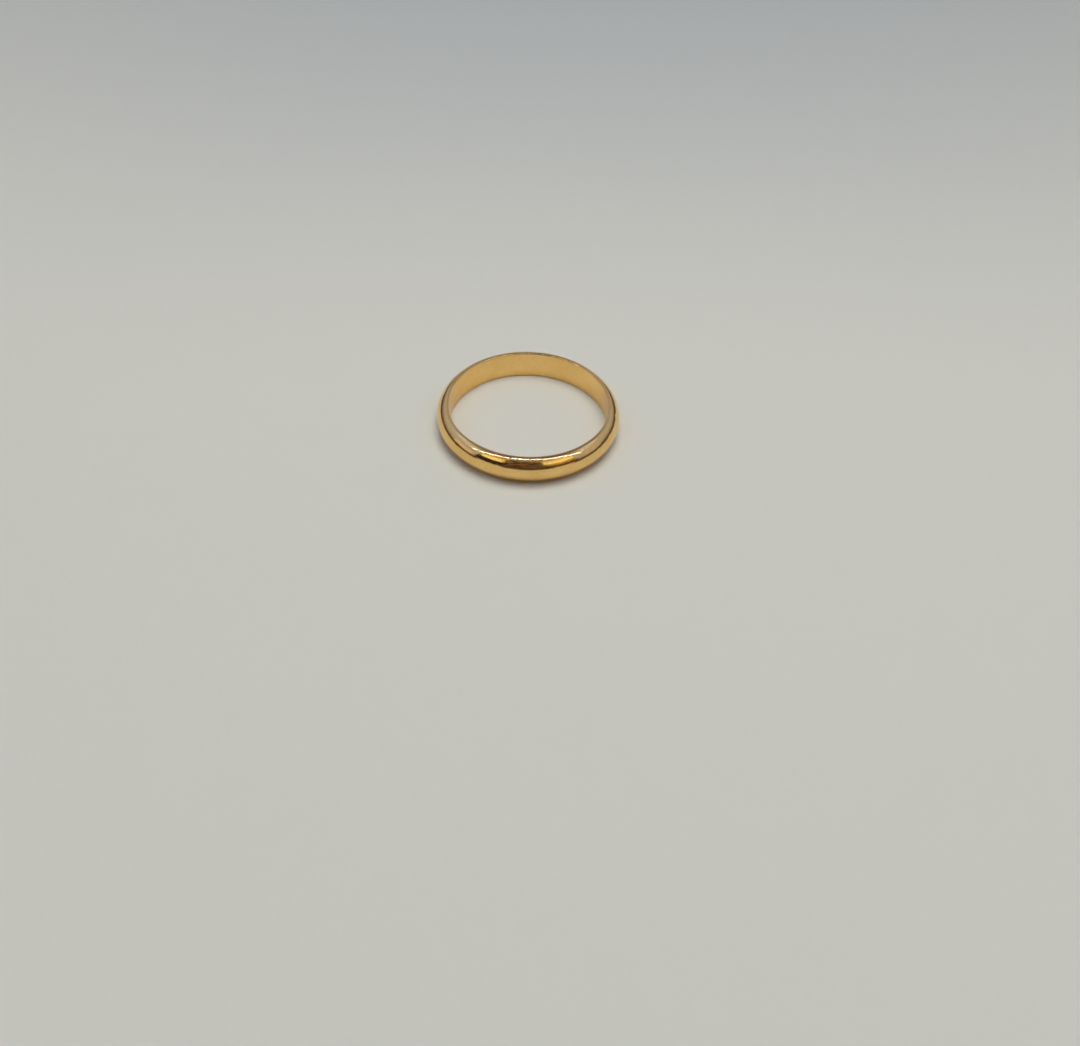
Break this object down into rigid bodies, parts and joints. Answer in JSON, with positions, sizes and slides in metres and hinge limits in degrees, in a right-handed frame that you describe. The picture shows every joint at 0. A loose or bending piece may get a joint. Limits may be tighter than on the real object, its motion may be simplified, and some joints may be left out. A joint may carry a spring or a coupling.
{
  "type": "wedding band",
  "caption": "Plain finger ring of D-section wire, flat inside and domed outside, with softly rounded edges and a butt joint soldered flush.",
  "frame": {"origin": "centre of the finger bore, on its axis and halfway between the two side faces", "axes": "+Z along the bore axis, so the band lies on its side; +Y towards the solder joint; +X completes the right-handed set"},
  "size_m": [0.0186, 0.0186, 0.003],
  "materials": {
    "yellow_gold": "hand-polished yellow gold with fine wear scratches",
    "gold_solder": "polished flush with the band, a shade paler"
  },
  "bodies": {
    "root": {"band": "yellow_gold", "solder_seam": "gold_solder"}
  },
  "joints": []
}
